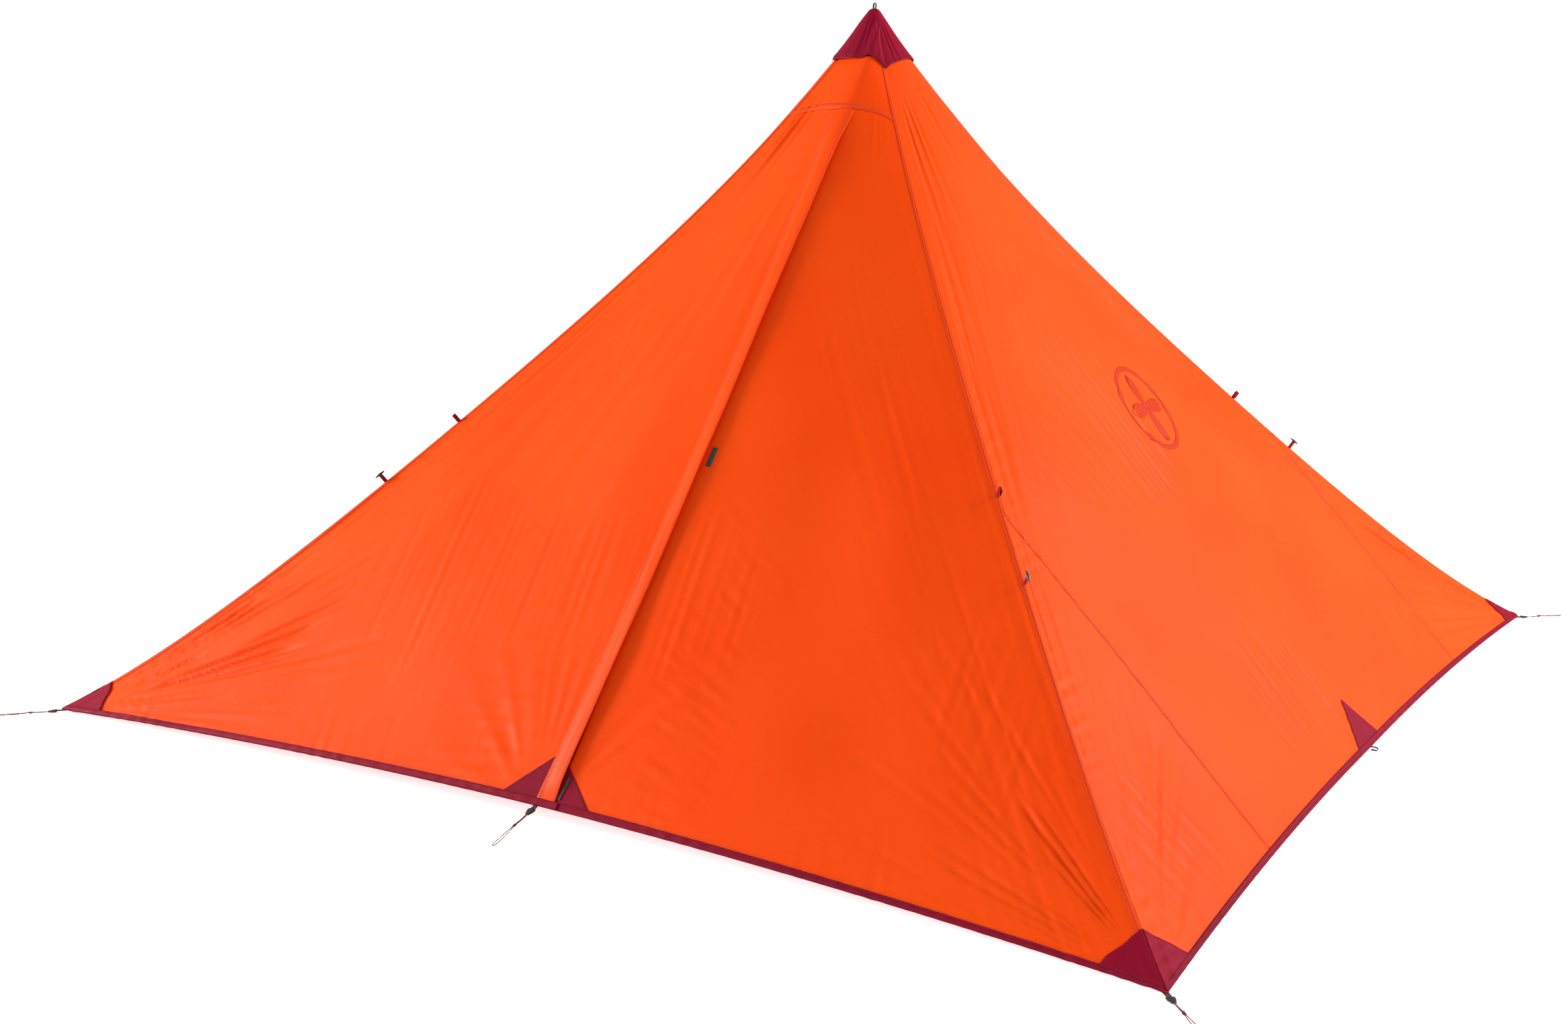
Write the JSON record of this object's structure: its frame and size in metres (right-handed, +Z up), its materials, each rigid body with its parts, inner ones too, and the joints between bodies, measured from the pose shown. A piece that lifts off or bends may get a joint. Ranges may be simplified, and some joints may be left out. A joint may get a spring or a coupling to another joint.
{
  "type": "single-pole pyramid shelter",
  "caption": "Square pyramid cloth shelter on an adjustable centre pole, with zipped fold-back doors, storm flaps and stake-out cord loops.",
  "frame": {"origin": "on the ground under the apex, at the foot of the centre pole", "axes": "+Z up; -Y towards the front door, +X to the right seen from the front"},
  "size_m": [2.9989, 2.9958, 1.683],
  "materials": {
    "shell": "matte ripstop",
    "trim": "matte reinforced cloth",
    "tape": "matte woven tape",
    "webbing": "matte woven webbing",
    "cord": "braided cord",
    "plastic": "moulded satin",
    "zip": "coil zip",
    "slider": "painted",
    "alloy": "anodised satin",
    "steel": "plain",
    "rubber": "matte"
  },
  "bodies": {
    "canopy": {"apex_cone": "trim", "apex_cup": "plastic", "apex_loop": "webbing", "front_yoke": "shell", "back_yoke": "shell", "right_wall": "shell", "left_wall": "shell", "wall_gussets": "shell", "wall_hems": "tape", "wall_patches": "trim", "front_left_panel": "shell", "front_right_panel": "shell", "back_left_panel": "shell", "back_right_panel": "shell", "panel_hems": "tape", "corner_patches": "trim", "corner_straps": "webbing", "corner_tensioners": "plastic", "front_right_cord": "cord", "back_right_cord": "cord", "back_left_cord": "cord", "front_left_cord": "cord", "corner_knots": "cord", "wall_stake_loops": "webbing", "ridge_loops": "tape", "toggle_tapes": "tape", "toggles": "plastic", "pole_foot": "rubber", "pole_lower_tube": "alloy", "pole_clamp": "plastic", "pole_lever_pin": "steel"},
    "pole_upper": {"pole_upper_tube": "alloy", "pole_tip": "plastic"},
    "clamp_lever": {"pole_lever": "plastic"},
    "front_left_half": {"front_left_door": "shell", "front_left_door_trim": "trim", "front_left_zip": "zip", "front_storm_flap": "shell", "front_foot_strap": "webbing", "front_foot_tensioner": "plastic", "front_foot_knot": "cord", "front_foot_cord": "cord"},
    "front_right_half": {"front_right_door": "shell", "front_right_door_trim": "trim", "front_right_zip": "zip"},
    "front_slider": {"front_zip_slider": "slider"},
    "front_puller": {"front_zip_puller": "slider"},
    "back_left_half": {"back_left_door": "shell", "back_left_door_trim": "trim", "back_left_zip": "zip", "back_storm_flap": "shell", "back_foot_strap": "webbing", "back_foot_tensioner": "plastic", "back_foot_knot": "cord", "back_foot_cord": "cord"},
    "back_right_half": {"back_right_door": "shell", "back_right_door_trim": "trim", "back_right_zip": "zip"},
    "back_slider": {"back_zip_slider": "slider"},
    "back_puller": {"back_zip_puller": "slider"}
  },
  "joints": [
    {"name": "pole_slide", "type": "slide", "parent": "canopy", "child": "pole_upper", "axis": [0, 0, 1], "range_m": [-0.55, 0]},
    {"name": "clamp_lever_pivot", "type": "hinge", "parent": "canopy", "child": "clamp_lever", "pos_m": [0.0196, 0, 0.905], "axis": [0, -1, 0], "range_deg": [0, 110]},
    {"name": "front_left_door_fold", "type": "hinge", "parent": "canopy", "child": "front_left_half", "pos_m": [0.03, -0.20946, 1.4178], "axis": [-0.3324, -0.6053, -0.7233], "range_deg": [0, 150]},
    {"name": "front_right_door_fold", "type": "hinge", "parent": "canopy", "child": "front_right_half", "pos_m": [0.042, -0.20946, 1.41745], "axis": [-0.332, 0.6055, 0.7233], "range_deg": [0, 150]},
    {"name": "front_zip", "type": "slide", "parent": "canopy", "child": "front_slider", "axis": [0, 0.6427, 0.7661], "range_m": [0, 1.7]},
    {"name": "front_puller_swing", "type": "hinge", "parent": "front_slider", "child": "front_puller", "pos_m": [0.036, -1.3333, 0.06384], "axis": [1, 0, 0], "range_deg": [-30, 30]},
    {"name": "back_left_door_fold", "type": "hinge", "parent": "canopy", "child": "back_left_half", "pos_m": [-0.03, 0.20946, 1.4178], "axis": [0.3324, 0.6053, -0.7233], "range_deg": [0, 150]},
    {"name": "back_right_door_fold", "type": "hinge", "parent": "canopy", "child": "back_right_half", "pos_m": [-0.042, 0.20946, 1.41745], "axis": [0.332, -0.6055, 0.7233], "range_deg": [0, 150]},
    {"name": "back_zip", "type": "slide", "parent": "canopy", "child": "back_slider", "axis": [0, -0.6427, 0.7661], "range_m": [0, 1.7]},
    {"name": "back_puller_swing", "type": "hinge", "parent": "back_slider", "child": "back_puller", "pos_m": [-0.036, 1.3333, 0.06384], "axis": [-1, 0, 0], "range_deg": [-30, 30]}
  ],
  "couplings": [
    {"joint": "front_right_door_fold", "follows": "front_left_door_fold", "ratio": 1},
    {"joint": "front_zip", "follows": "front_left_door_fold", "m_per_rad": 0.64916},
    {"joint": "back_right_door_fold", "follows": "back_left_door_fold", "ratio": 1},
    {"joint": "back_zip", "follows": "back_left_door_fold", "m_per_rad": 0.64916}
  ]
}
